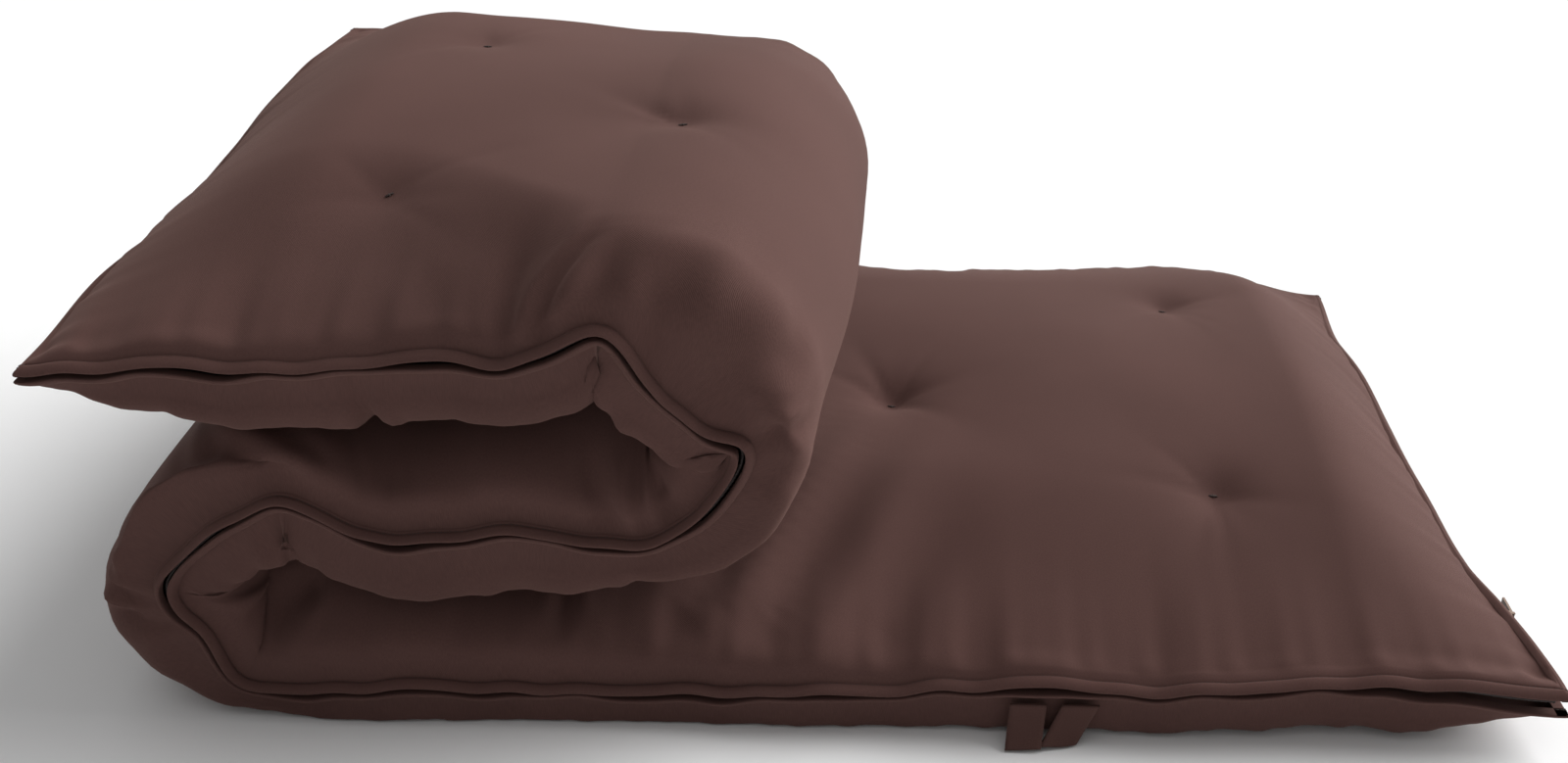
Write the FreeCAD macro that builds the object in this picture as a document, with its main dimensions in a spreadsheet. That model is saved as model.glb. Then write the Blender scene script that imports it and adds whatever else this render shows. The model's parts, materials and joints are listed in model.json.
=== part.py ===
import FreeCAD, Part
import os
import Sketcher
from FreeCAD import Rotation, Vector

# A floor futon mattress folded in three, like an S: bottom panel, left fold, middle panel,
# right fold, top panel. Millimetres, +Z up, origin on the floor at the middle of the folded
# stack's box. X runs along the mattress, Y across it, and the zip seam faces -Y.
#
# Each of the five lengths is a pillow section: two casing sheets round two layers of batting
# and a foam slab. "face" is the side that shows on top of the bottom panel and of the top
# panel, "back" is the side that lies on the floor. A panel is flat where it meets a fold. A
# fold is a rounded roll with one hinge line along the middle of each of its two ends.

DIMENSIONS = {
    "half_length": 509,      # half the length of the folded stack
    "half_width": 343,       # half the mattress's width
    "half_loft": 65,         # half the thickness of one layer
    "clearance": 0.3,        # gap between layers, and between a fold and its panels
    "right_crease": 124,     # how far left of the origin the right fold's crease is
    "top_reach": 502,        # how far left of the origin the top panel's free end is
    "edge_taper": 90,        # width over which the layer thins down to its seam
    "half_lip": 8,           # half the thickness of the seam's two lips together
    "cloth": 2,              # casing sheet
    "core_half_thick": 25,   # foam slab
    "core_inset": 75,        # foam slab's edge from the seam
    "bottom_seam_drop": 25,  # how far the seam lies below the middle of its layer
    "upper_seam_drop": 14,
    "dent_radius": 42,       # tuft dents
    "dent_bottom_radius": 6,
    "dent_depth": 16,
    "twine_radius": 1.2,
    "knot_radius": 3.5,
    "zip_inset": 7.5,        # coil's axis from the lip's edge
    "coil_radius": 1.1,
    "tape_depth": 24,        # tape's inner edge from the lip's edge
    "tape_half_gap": 1.2,
    "tape_half_stack": 2.2,
    "zip_return": 128,       # how far the zip runs round the bottom panel's free end
    "garage_half_height": 5,
    "garage_depth": 14,
    "slider_length": 10,
    "slider_half_height": 4.2,
    "slider_depth": 8,
    "slot_half_height": 2.6,
    "slider_web": 1.6,
    "slider_inset": 4,       # slider's outer face from the lip's edge
    "slider_place": 98,      # slider's middle from the front lip's edge
    "pull_length": 20,
    "pull_half_width": 3,
    "pull_half_thick": 0.8,
    "pin_radius": 0.6,
    "pin_clearance": 0.05,
    "pin_stand": 1.6,        # pin's axis from the slider's outer face
    "ear_thick": 0.9,
    "strap_width": 26,
    "strap_thick": 2.4,
    "strap_floor_gap": 1,
    "strap_rise": 36,
    "strap_setback": 3,      # strap's middle from the lip's edge
    "left_strap_x": 152,
    "right_strap_x": 192,
}

# Tufts as (x, y), counted from the origin, in the panel that each one is sewn through.
TUFTS = {
    "bottom_panel": [(305, 120), (300, -182), (55, -59), (-190, 112), (-190, -193)],
    "middle_panel": [(-200, 110), (-200, -190), (-320, -45)],
    "top_panel": [(-283, 70), (-290, -215), (-172, -103)],
}

doc = FreeCAD.newDocument("futon_mattress")
sheet = doc.addObject("Spreadsheet::Sheet", "dims")
sub_parts = []


class Size:
    """A length or place: its number now, and the expression that gives it from the sheet."""

    def __init__(self, value, text):
        self.value = value
        self.text = text

    def combine(self, sign, other, value):
        other_text = other.text if isinstance(other, Size) else repr(other)
        return Size(value, f"({self.text} {sign} {other_text})")

    def __add__(self, other):
        return self.combine("+", other, self.value + number(other))

    def __radd__(self, other):
        return self + other

    def __sub__(self, other):
        return self.combine("-", other, self.value - number(other))

    def __rsub__(self, other):
        return Size(other - self.value, f"({other!r} - {self.text})")

    def __mul__(self, other):
        return self.combine("*", other, self.value * number(other))

    def __neg__(self):
        return self * -1


def number(size):
    return size.value if isinstance(size, Size) else size


def expression(size):
    return size.text if isinstance(size, Size) else repr(size)


def fill_sheet():
    sizes = {}
    for row, (alias, value) in enumerate(DIMENSIONS.items(), start=1):
        sheet.set(f"A{row}", alias)
        sheet.set(f"B{row}", str(value))
        sheet.setAlias(f"B{row}", alias)
        sizes[alias] = Size(value, f"dims.{alias}")
    doc.recompute()
    return sizes


def bind(thing, **sizes):
    for name, size in sizes.items():
        thing.setExpression(name, expression(size))
    return thing


def place(thing, x=0, y=0, z=0):
    for axis, size in (("x", x), ("y", y), ("z", z)):
        thing.setExpression(f"Placement.Base.{axis}", expression(size))
    return thing


def box(name, low, high):
    """A box between two corners, each a triple of sizes."""
    block = doc.addObject("Part::Box", name)
    bind(block, Length=high[0] - low[0], Width=high[1] - low[1], Height=high[2] - low[2])
    return place(block, *low)


def cylinder(name, radius, length, start, direction=Vector(0, 0, 1)):
    rod = doc.addObject("Part::Cylinder", name)
    bind(rod, Radius=radius, Height=length)
    rod.Placement.Rotation = Rotation(Vector(0, 0, 1), direction)
    return place(rod, *start)


def cut(name, base, *tools):
    result = doc.addObject("Part::Cut", name)
    result.Base = base
    result.Tool = tools[0] if len(tools) == 1 else fuse(name + "_tools", *tools)
    return result


def fuse(name, *shapes):
    result = doc.addObject("Part::MultiFuse", name)
    result.Shapes = list(shapes)
    return result


def common(name, base, tool):
    result = doc.addObject("Part::Common", name)
    result.Base = base
    result.Tool = tool
    return result


def group(name, pieces):
    """Separate solids that share one node."""
    result = doc.addObject("Part::Compound", name)
    result.Links = list(pieces)
    return result


def sub_part(thing, label):
    thing.Label = label
    sub_parts.append(thing)
    return thing


def new_body(name):
    return doc.addObject("PartDesign::Body", name)


def origin_plane(body, role):
    return next(f for f in body.Origin.OriginFeatures if f.Role == role)


def closed_sketch(body, name, role, corners, arcs, on_axis=()):
    """A closed outline in a body's own plane, every corner bound to the sheet.

    arcs maps an edge's index to which of its neighbours it is tangent to, "before" or
    "after". on_axis lists the corners that lie on the sketch's vertical axis.
    """
    sketch = body.newObject("Sketcher::SketchObject", name)
    sketch.AttachmentSupport = [(origin_plane(body, role), "")]
    sketch.MapMode = "FlatFace"
    spots = [Vector(number(u), number(v), 0) for u, v in corners]
    count = len(spots)
    # start_at[i] is the Sketcher's number for the end of edge i that lies on corner i
    start_at = []
    for index in range(count):
        first, last = spots[index], spots[(index + 1) % count]
        if index in arcs:
            arc, starts_first = tangent_arc(spots, index, arcs[index])
            sketch.addGeometry(arc, False)
            start_at.append(1 if starts_first else 2)
        else:
            sketch.addGeometry(Part.LineSegment(first, last), False)
            start_at.append(1)
    for index in range(count):
        before = (index - 1) % count
        sketch.addConstraint(Sketcher.Constraint(
            "Coincident", before, 3 - start_at[before], index, start_at[index]))
    for index, side in arcs.items():
        # the arc's centre stands square off its straight neighbour, so the two are tangent
        joint = index if side == "before" else (index + 1) % count
        end = start_at[index] if side == "before" else 3 - start_at[index]
        beyond = spots[joint - 1 if side == "before" else (joint + 1) % count]
        lies_flat = abs(beyond.y - spots[joint].y) < abs(beyond.x - spots[joint].x)
        sketch.addConstraint(Sketcher.Constraint(
            "Vertical" if lies_flat else "Horizontal", index, end, index, 3))
    for index, (u, v) in enumerate(corners):
        if index in on_axis:
            sketch.addConstraint(Sketcher.Constraint(
                "PointOnObject", index, start_at[index], -2))
        else:
            pin_corner(sketch, index, start_at[index], "DistanceX", f"across_{index}", u)
        pin_corner(sketch, index, start_at[index], "DistanceY", f"up_{index}", v)
    return sketch


def pin_corner(sketch, edge, end, kind, name, size):
    row = sketch.addConstraint(Sketcher.Constraint(kind, -1, 1, edge, end, number(size)))
    sketch.renameConstraint(row, name)
    sketch.setExpression(f"Constraints.{name}", expression(size))


def tangent_arc(spots, index, side):
    """The arc from corner index to the next one that leaves its straight neighbour smoothly."""
    count = len(spots)
    start, end = spots[index], spots[(index + 1) % count]
    if side == "before":
        joint, far, heading = start, end, (start - spots[index - 1])
    else:
        joint, far, heading = end, start, (end - spots[(index + 2) % count])
    heading = heading.normalize()
    chord = far - joint
    normal = Vector(-heading.y, heading.x, 0)
    if normal.dot(chord) < 0:
        normal = -normal
    radius = chord.dot(chord) / (2 * normal.dot(chord))
    centre = joint + normal * radius
    turning = (start - centre).cross(end - centre).z
    low, high = (start, end) if turning > 0 else (end, start)
    circle = Part.Circle(centre, Vector(0, 0, 1), radius)
    piece = Part.ArcOfCircle(circle, circle.parameter(low), circle.parameter(high))
    return piece, turning > 0


def pillow_outline(across, loft, taper, seam, lip, left_round=True, right_round=True):
    """Corners and arcs of one layer's section: across is its (left, right) edges, loft half
    its thickness, seam the height of its seam. An edge that isn't round is cut off flat."""
    left, right = across
    corners, arcs = [], {}
    if left_round:
        corners += [(left, seam - lip), (left, seam + lip)]
        arcs[1] = "after"
        corners.append((left + taper, loft))
    else:
        corners += [(left, -loft), (left, loft)]
    if right_round:
        corners.append((right - taper, loft))
        arcs[len(corners) - 1] = "before"
        corners += [(right, seam + lip), (right, seam - lip), (right - taper, -loft)]
        arcs[len(corners) - 2] = "after"
    else:
        corners += [(right, loft), (right, -loft)]
    if left_round:
        corners.append((left + taper, -loft))
        arcs[len(corners) - 1] = "before"
    return corners, arcs


def symmetric_pad(body, sketch, name, length):
    pad = body.newObject("PartDesign::Pad", name)
    pad.Profile = sketch
    pad.SideType = "Symmetric"
    return bind(pad, Length=length)


def panel_block(name, panel, inset):
    """A panel's outline, drawn in by inset on every side that isn't cut off flat."""
    loft = size["half_loft"] - inset
    lip = size["half_lip"] - inset
    width = size["half_width"] - inset
    left = panel["left"] + inset
    right = panel["right"] - inset
    taper = size["edge_taper"]
    seam = -panel["seam_drop"]
    lengthways = new_body(name + "_lengthways")
    corners, arcs = pillow_outline((left, right), loft, taper, seam, lip,
                                   panel["left_free"], panel["right_free"])
    outline = closed_sketch(lengthways, name + "_side", "XZ_Plane", corners, arcs)
    symmetric_pad(lengthways, outline, name + "_side_pad", width * 2)
    crossways = new_body(name + "_crossways")
    corners, arcs = pillow_outline((-width, width), loft, taper, seam, lip)
    section = closed_sketch(crossways, name + "_section", "YZ_Plane", corners, arcs)
    symmetric_pad(crossways, section, name + "_section_pad", size["half_length"] * 2)
    for body in (lengthways, crossways):
        place(body, z=panel["level"])
    return common(name, lengthways, crossways)


def fold_block(name, fold, inset):
    """A fold's outline: an upright pillow section with a half-turned roll on each end."""
    loft = size["half_loft"] - inset
    lip = size["half_lip"] - inset
    width = size["half_width"] - inset
    taper = size["edge_taper"]
    body = new_body(name)
    corners, arcs = pillow_outline((-width, width), loft, taper, 0, lip)
    upright = [(v, u) for u, v in corners]
    section = closed_sketch(body, name + "_section", "XY_Plane", upright, arcs)
    symmetric_pad(body, section, name + "_pad", pitch)
    half = [(0, -width), (lip, -width), (loft, -width + taper), (loft, width - taper),
            (lip, width), (0, width)]
    rim = closed_sketch(body, name + "_rim", "XY_Plane", half, {1: "after", 3: "before"},
                        on_axis=(0, 5))
    rim.setExpression("AttachmentOffset.Base.z", (pitch * 0.5).text)
    roll = body.newObject("PartDesign::Revolution", name + "_roll")
    roll.Profile = rim
    roll.ReferenceAxis = (rim, ["V_Axis"])
    roll.Angle = 180
    roll.Reversed = True
    mirrored = body.newObject("PartDesign::Mirrored", name + "_mirrored")
    mirrored.Originals = [roll]
    mirrored.MirrorPlane = (origin_plane(body, "XY_Plane"), [""])
    body.Tip = mirrored
    return place(body, x=fold["axis"], z=fold["level"])


def tuft_dents(name, panel, inset):
    """Cones pressed into both sides of a panel at its tufts, inset deeper into the filling."""
    cones = []
    for index, (x, y) in enumerate(TUFTS[panel["name"]]):
        for side, turn in (("face", 0), ("back", 180)):
            cone = doc.addObject("Part::Cone", f"{name}_{index}_{side}")
            bind(cone, Radius1=size["dent_bottom_radius"] + inset,
                 Radius2=size["dent_radius"] + inset, Height=size["dent_depth"] + inset)
            cone.Placement.Rotation = Rotation(Vector(1, 0, 0), turn)
            reach = size["half_loft"] - size["dent_depth"] - inset
            place(cone, x, y, panel["level"] + (reach if turn == 0 else -reach))
            cones.append(cone)
    return cones


def make_layers(part, outer, inner, dents, inner_dents, channels, core, half_boxes):
    """Two casing sheets, two layers of batting and the foam slab of one length."""
    name = part["name"]
    shell = cut(name + "_shell", cut(name + "_outer", outer, *dents, *channels),
                cut(name + "_hollow", inner, *inner_dents) if inner_dents else inner)
    wadding = cut(name + "_wadding", inner, *inner_dents, *channels, core)
    for side in ("face", "back"):
        sub_part(common(f"{name}_casing_{side}", shell, half_boxes[side]),
                 f"casing_{side}_{name}")
        sub_part(common(f"{name}_batting_{side}", wadding, half_boxes[side]),
                 f"batting_{side}_{name}")
    sub_part(core, f"foam_core_{name}")


def make_panel(panel):
    name = panel["name"]
    level = panel["level"]
    seam_level = level - panel["seam_drop"]
    length, width = size["half_length"], size["half_width"]
    loft = size["half_loft"]
    inset = size["core_inset"]
    outer = panel_block(name + "_outline", panel, 0)
    inner = panel_block(name + "_lining", panel, size["cloth"])
    left = panel["left"] + (inset if panel["left_free"] else size["cloth"])
    right = panel["right"] - (inset if panel["right_free"] else size["cloth"])
    core = box(name + "_core", (left, -width + inset, level - size["core_half_thick"]),
               (right, width - inset, level + size["core_half_thick"]))
    halves = {
        "face": box(name + "_face_half", (-length, -width, seam_level),
                    (length, width, level + loft)),
        "back": box(name + "_back_half", (-length, -width, level - loft),
                    (length, width, seam_level)),
    }
    channels = zip_in_panel(panel, seam_level)
    make_layers(panel, outer, inner, tuft_dents(name + "_dent", panel, 0),
                tuft_dents(name + "_inner_dent", panel, size["cloth"]), channels, core, halves)
    make_tufts(panel)


def make_fold(fold):
    name = fold["name"]
    axis, level = fold["axis"], fold["level"]
    width, loft = size["half_width"], size["half_loft"]
    reach = pitch * 0.5 + loft
    outer = fold_block(name + "_outline", fold, 0)
    inner = fold_block(name + "_lining", fold, size["cloth"])
    inset = size["core_inset"]
    core = box(name + "_core",
               (axis - size["core_half_thick"], -width + inset, level - pitch * 0.5),
               (axis + size["core_half_thick"], width - inset, level + pitch * 0.5))
    outside = box(name + "_outside", (axis, -width, level - reach),
                  (axis + loft, width, level + reach))
    inside = box(name + "_inside", (axis - loft, -width, level - reach),
                 (axis, width, level + reach))
    # the left fold's face looks in, at +X, and the right fold's face looks out, at +X too
    halves = {"face": outside, "back": inside}
    channel = [zip_in_fold(fold)]
    make_layers(fold, outer, inner, [], [], channel, core, halves)


def make_tufts(panel):
    name = panel["name"]
    twines, knots = [], []
    reach = size["half_loft"] - size["dent_depth"] + size["knot_radius"]
    for index, (x, y) in enumerate(TUFTS[name]):
        start = (x, y, panel["level"] - reach)
        twines.append(cylinder(f"{name}_twine_{index}", size["twine_radius"], reach * 2, start))
        for side, shift in (("face", reach), ("back", -reach)):
            knot = doc.addObject("Part::Sphere", f"{name}_knot_{index}_{side}")
            bind(knot, Radius=size["knot_radius"])
            knots.append(place(knot, x, y, panel["level"] + shift))
    sub_part(group(name + "_twines", twines), f"tuft_twine_{name}")
    sub_part(group(name + "_knots", knots), f"tuft_knots_{name}")


def zip_in_panel(panel, seam_level):
    """The zip along a panel's front seam. Returns the room it takes out of the panel."""
    name = panel["name"]
    front = -size["half_width"]
    near, far = size["tape_half_gap"], size["tape_half_stack"]
    left = panel["left"] + (size["zip_inset"] if panel["left_free"] else size["cloth"])
    right = panel["right"] - (size["zip_inset"] if panel["right_free"] else size["cloth"])
    room = [box(name + "_zip_room", (left, front, seam_level - far),
                (right, front + size["tape_depth"], seam_level + far))]
    coil_y = front + size["zip_inset"]
    tape_start = coil_y + size["coil_radius"]
    tape_end = front + size["tape_depth"]
    coil = cylinder(name + "_coil_run", size["coil_radius"], right - left,
                    (left, coil_y, seam_level), Vector(1, 0, 0))
    tape_runs = {side: [(low, high)] for side, low, high in
                 (("face", near, far), ("back", -far, -near))}
    tapes = {side: box(f"{name}_tape_{side}_run", (left, tape_start, seam_level + runs[0][0]),
                       (right, tape_end, seam_level + runs[0][1]))
             for side, runs in tape_runs.items()}
    if name == "bottom_panel":
        end = panel["right"]
        back = front + size["zip_return"]
        room.append(box("return_room", (end - size["tape_depth"], front, seam_level - far),
                        (end, back, seam_level + far)))
        tall = size["garage_half_height"]
        room.append(box("slider_garage", (end - size["garage_depth"], front, seam_level - tall),
                        (end, back, seam_level + tall)))
        coil_back = back - size["coil_radius"]
        coil_turn = cylinder("return_coil", size["coil_radius"], coil_back - coil_y,
                             (end - size["zip_inset"], coil_y, seam_level), Vector(0, 1, 0))
        coil = fuse("return_coil_joined", coil, coil_turn)
        inner_edge = end - size["tape_depth"]
        outer_edge = end - size["zip_inset"] - size["coil_radius"]
        for side in tapes:
            low, high = tape_runs[side][0]
            turn = box(f"return_tape_{side}", (inner_edge, tape_start, seam_level + low),
                       (outer_edge, back, seam_level + high))
            tapes[side] = fuse(f"return_tape_{side}_joined", tapes[side], turn)
        make_slider(end, front, seam_level)
        make_straps(front)
    for side in tapes:
        sub_part(tapes[side], f"zip_tape_{side}_{name}")
    sub_part(coil, f"zip_coil_{name}")
    return room


def zip_in_fold(fold):
    """The zip up a fold's front end. Returns the room it takes out of the fold."""
    name = fold["name"]
    axis, level = fold["axis"], fold["level"]
    front = -size["half_width"]
    near, far = size["tape_half_gap"], size["tape_half_stack"]
    reach = pitch * 0.5 + size["half_lip"] - size["cloth"]
    coil_y = front + size["zip_inset"]
    room = box(name + "_zip_room", (axis - far, front, level - reach),
               (axis + far, front + size["tape_depth"], level + reach))
    coil = cylinder(name + "_coil_run", size["coil_radius"], reach * 2,
                    (axis, coil_y, level - reach))
    for side, low, high in (("face", near, far), ("back", -far, -near)):
        tape = box(f"{name}_tape_{side}",
                   (axis + low, coil_y + size["coil_radius"], level - reach),
                   (axis + high, front + size["tape_depth"], level + reach))
        sub_part(tape, f"zip_tape_{side}_{name}")
    sub_part(coil, f"zip_coil_{name}")
    return room


def make_slider(end, front, seam_level):
    """The zip's slider, parked on the free end's return, its pull tab, and the end stop."""
    middle = front + size["slider_place"]
    half = size["slider_length"] * 0.5
    outer = end - size["slider_inset"]
    inner = outer - size["slider_depth"]
    tall, slot = size["slider_half_height"], size["slot_half_height"]
    block = box("slider_block", (inner, middle - half, seam_level - tall),
                (outer, middle + half, seam_level + tall))
    throat = box("slider_throat", (inner, middle - half, seam_level - slot),
                 (outer - size["slider_web"], middle + half, seam_level + slot))
    pin_x = outer + size["pin_stand"]
    pin_y = middle + half * 0.5
    ear_reach = size["pin_radius"] + size["pin_clearance"] + size["ear_thick"] * 0.5
    ears = []
    for side, low in (("upper", tall - size["ear_thick"]), ("lower", -tall)):
        ears.append(box(f"slider_ear_{side}", (outer - size["slider_web"], pin_y - ear_reach,
                                               seam_level + low),
                        (pin_x + ear_reach, pin_y + ear_reach,
                         seam_level + low + size["ear_thick"])))
    pin = cylinder("slider_pin", size["pin_radius"], tall * 2, (pin_x, pin_y, seam_level - tall))
    slider = cut("slider_body", block, throat)
    sub_part(fuse("slider", slider, pin, *ears), "zip_slider")

    half_thick = size["pull_half_thick"]
    half_wide = size["pull_half_width"]
    tab = box("pull_tab", (pin_x - half_thick, pin_y, seam_level - half_wide),
              (pin_x + half_thick, pin_y + size["pull_length"], seam_level + half_wide))
    eye_radius = size["pin_radius"] * 2
    eye = cylinder("pull_eye", eye_radius, half_wide * 2, (pin_x, pin_y, seam_level - half_wide))
    bore = cylinder("pull_bore", size["pin_radius"] + size["pin_clearance"], half_wide * 2,
                    (pin_x, pin_y, seam_level - half_wide))
    sub_part(cut("pull", fuse("pull_blank", tab, eye), bore), "zip_pull")

    stop_start = middle + half + size["clearance"]
    stop = box("stop_block", (end - size["zip_inset"] - size["tape_half_stack"], stop_start,
                              seam_level - size["tape_half_stack"]),
               (outer - size["slider_web"], stop_start + 0.5,
                seam_level + size["tape_half_stack"]))
    sub_part(stop, "zip_end_stop")


def make_straps(front):
    """Two folded cloth tie straps sewn into the seam under the front edge."""
    for side in ("left", "right"):
        middle = size[f"{side}_strap_x"]
        half = size["strap_width"] * 0.5
        y = front + size["strap_setback"]
        half_thick = size["strap_thick"] * 0.5
        strap = box(f"{side}_strap", (middle - half, y - half_thick, size["strap_floor_gap"]),
                    (middle + half, y + half_thick, size["strap_rise"]))
        sub_part(strap, f"tie_strap_{side}")


def save_sub_parts():
    doc.recompute()
    failed = [thing.Label for thing in doc.Objects
              if "Invalid" in thing.State or "Error" in thing.State]
    for thing in sub_parts:
        if thing.Shape.isNull() or not thing.Shape.isValid() or not thing.Shape.Solids:
            failed.append(thing.Label)
    if failed:
        raise RuntimeError("these objects failed: " + ", ".join(failed))
    os.makedirs("parts", exist_ok=True)
    for thing in sub_parts:
        thing.Shape.exportStep(f"parts/{thing.Label}.step")
        volume = thing.Shape.Volume / 1000
        print(f"{thing.Label:32s} {len(thing.Shape.Solids):3d} solids {volume:12.2f} cm3")


size = fill_sheet()
pitch = size["half_loft"] * 2 + size["clearance"]
low_level = size["half_loft"]
left_axis = size["half_loft"] - size["half_length"]
right_axis = size["half_loft"] + size["clearance"] - size["right_crease"]
left_crease = left_axis + size["half_loft"] + size["clearance"]

PANELS = [
    {"name": "bottom_panel", "left": left_crease, "right": size["half_length"],
     "left_free": False, "right_free": True, "level": low_level,
     "seam_drop": size["bottom_seam_drop"]},
    {"name": "middle_panel", "left": left_crease, "right": -size["right_crease"],
     "left_free": False, "right_free": False, "level": low_level + pitch,
     "seam_drop": size["upper_seam_drop"]},
    {"name": "top_panel", "left": -size["top_reach"], "right": -size["right_crease"],
     "left_free": True, "right_free": False, "level": low_level + pitch * 2,
     "seam_drop": size["upper_seam_drop"]},
]
FOLDS = [
    {"name": "fold_left", "axis": left_axis, "level": low_level + pitch * 0.5},
    {"name": "fold_right", "axis": right_axis, "level": low_level + pitch * 1.5},
]

for panel in PANELS:
    make_panel(panel)
for fold in FOLDS:
    make_fold(fold)
save_sub_parts()
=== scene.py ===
import json
import math

import bpy
import numpy as np
from mathutils import Euler, Matrix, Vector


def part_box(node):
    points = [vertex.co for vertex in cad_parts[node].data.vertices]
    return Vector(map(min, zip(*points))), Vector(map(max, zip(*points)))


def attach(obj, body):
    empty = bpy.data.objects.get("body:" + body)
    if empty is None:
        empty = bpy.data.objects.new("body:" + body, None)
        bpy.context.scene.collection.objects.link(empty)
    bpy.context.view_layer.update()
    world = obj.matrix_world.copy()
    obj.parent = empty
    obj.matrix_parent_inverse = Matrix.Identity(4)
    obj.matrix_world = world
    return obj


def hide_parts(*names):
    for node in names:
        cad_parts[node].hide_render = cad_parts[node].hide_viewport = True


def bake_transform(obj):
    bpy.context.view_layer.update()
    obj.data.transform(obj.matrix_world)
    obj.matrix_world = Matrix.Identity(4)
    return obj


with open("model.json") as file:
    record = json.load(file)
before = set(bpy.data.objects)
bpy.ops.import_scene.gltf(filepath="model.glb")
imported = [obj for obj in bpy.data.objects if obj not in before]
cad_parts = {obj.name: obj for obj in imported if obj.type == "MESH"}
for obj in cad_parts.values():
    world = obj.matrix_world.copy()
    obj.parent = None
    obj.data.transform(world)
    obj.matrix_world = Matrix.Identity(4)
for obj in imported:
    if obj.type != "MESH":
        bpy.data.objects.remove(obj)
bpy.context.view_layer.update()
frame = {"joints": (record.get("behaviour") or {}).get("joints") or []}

# A floor futon folded in three. The casing is worked out on a grid of (run, across): run is
# the distance along the mattress from the bottom panel's free end, across is y. The grid is
# bent at the frame's four fold hinges. The seam's path and the folds' rounding are those of
# the folded shape.

MM = 0.001

# ---------------------------------------------------------------- places from the frame

FREE_END, HALF_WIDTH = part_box("casing_face_bottom_panel")[1][:2]
TOP_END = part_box("casing_face_top_panel")[0][0]
hinges = {joint["name"]: joint for joint in frame["joints"] if joint["type"] == "hinge"}
FOLD_HINGES = ["left_fold_lower", "left_fold_upper", "right_fold_lower", "right_fold_upper"]
CHAIN = ["bottom_panel", "fold_left", "middle_panel", "fold_right", "top_panel"]
hinge_place = [np.array([hinges[name]["pos_m"][0], hinges[name]["pos_m"][2]])
               for name in FOLD_HINGES]
# closing turns in the XZ plane, anticlockwise positive: the left fold closes one way, the
# right fold the other
hinge_turn = [math.radians(hinges[name]["range_deg"][1]) * hinges[name]["axis"][1]
              for name in FOLD_HINGES]
PITCH = hinge_place[1][1] - hinge_place[0][1]
REACH = PITCH / 2                                # a bend's half length, either side of a hinge
HALF_LOFT = hinge_place[0][1]
LEFT_CREASE = np.array([hinge_place[0][0] + REACH, hinge_place[0][1] + REACH])
RIGHT_CREASE = np.array([hinge_place[2][0] - REACH, hinge_place[2][1] + REACH])

# ---------------------------------------------------------------- the seam's lips

LIP = 7.5 * MM                                   # how far the lips stand out of the pillow
LIP_ROOT = 6.9 * MM                              # half the thickness where the lips start
# rows of a lip in mm, as (outward, height above the slit)
FACE_LIP = [(0.5, 6.3), (0.9, 5.4), (1.4, 6.0), (2.8, 5.8), (4.6, 4.9), (6.1, 3.6),
            (7.1, 2.3), (7.5, 1.2), (7.2, 0.3), (6.3, 0.0), (4.0, 0.0), (0.5, 0.0)]
BACK_LIP = [(0.8, 6.6), (1.8, 5.8), (2.3, 4.8), (3.0, 5.3), (4.8, 4.5), (6.6, 3.3),
            (7.8, 2.1), (8.3, 1.1), (8.0, 0.3), (7.0, 0.0), (4.6, 0.0), (0.5, 0.0)]
LIP_ROWS = len(FACE_LIP)

# ---------------------------------------------------------------- small maths


def smooth(value, start, end):
    """0 before start, 1 after end, eased between."""
    t = np.clip((value - start) / (end - start), 0, 1)
    return t * t * (3 - 2 * t)


def turned(points, angle):
    """(x, z) points turned anticlockwise about the origin."""
    cos, sin = np.cos(angle), np.sin(angle)
    return np.stack([points[..., 0] * cos - points[..., 1] * sin,
                     points[..., 0] * sin + points[..., 1] * cos], -1)


def through(knots, values, at):
    """A smooth curve through (knot, value) pairs, flat beyond its ends."""
    knots = np.asarray(knots, float)
    values = np.asarray(values, float)
    slopes = np.gradient(values, knots, axis=0)
    at = np.clip(at, knots[0], knots[-1])
    index = np.clip(np.searchsorted(knots, at) - 1, 0, len(knots) - 2)
    span = knots[index + 1] - knots[index]
    t = (at - knots[index]) / span
    if values.ndim > 1:
        t, span = t[..., None], span[..., None]
    t2, t3 = t * t, t * t * t
    return ((2 * t3 - 3 * t2 + 1) * values[index] + (t3 - 2 * t2 + t) * span * slopes[index]
            + (3 * t2 - 2 * t3) * values[index + 1] + (t3 - t2) * span * slopes[index + 1])


def ripple(at, seed, wave_lengths, amounts):
    """A sum of sines with fixed phases: an uneven but repeatable wave."""
    phases = np.random.default_rng(seed).uniform(0, 2 * math.pi, len(wave_lengths))
    total = np.zeros_like(at)
    for length, amount, phase in zip(wave_lengths, amounts, phases):
        total += amount * np.sin(2 * math.pi * at / length + phase)
    return total


def evened(values, at, width):
    """Values averaged along their first axis with a Gaussian window."""
    weights = np.exp(-0.5 * ((at[:, None] - at[None, :]) / width) ** 2)
    weights *= np.gradient(at)[None, :]
    weights /= weights.sum(1, keepdims=True)
    return np.tensordot(weights, values, axes=(1, 0))


# ---------------------------------------------------------------- the run and its bends

# distance of each hinge along the mattress from the bottom panel's free end
hinge_run = [FREE_END - LIP - hinge_place[0][0]]
hinge_run.append(hinge_run[0] + PITCH)
hinge_run.append(hinge_run[1] + hinge_place[2][0] - hinge_place[1][0])
hinge_run.append(hinge_run[2] + PITCH)
RUN = hinge_run[3] + hinge_place[3][0] - (TOP_END + LIP)
LEFT_MIDDLE = (hinge_run[0] + hinge_run[1]) / 2
RIGHT_MIDDLE = (hinge_run[2] + hinge_run[3]) / 2


def bend_shares(run):
    """How far each hinge's bend has gone at a run: 0 before it, 1 after it."""
    return [smooth(run, place - REACH, place + REACH) for place in hinge_run]


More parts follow.
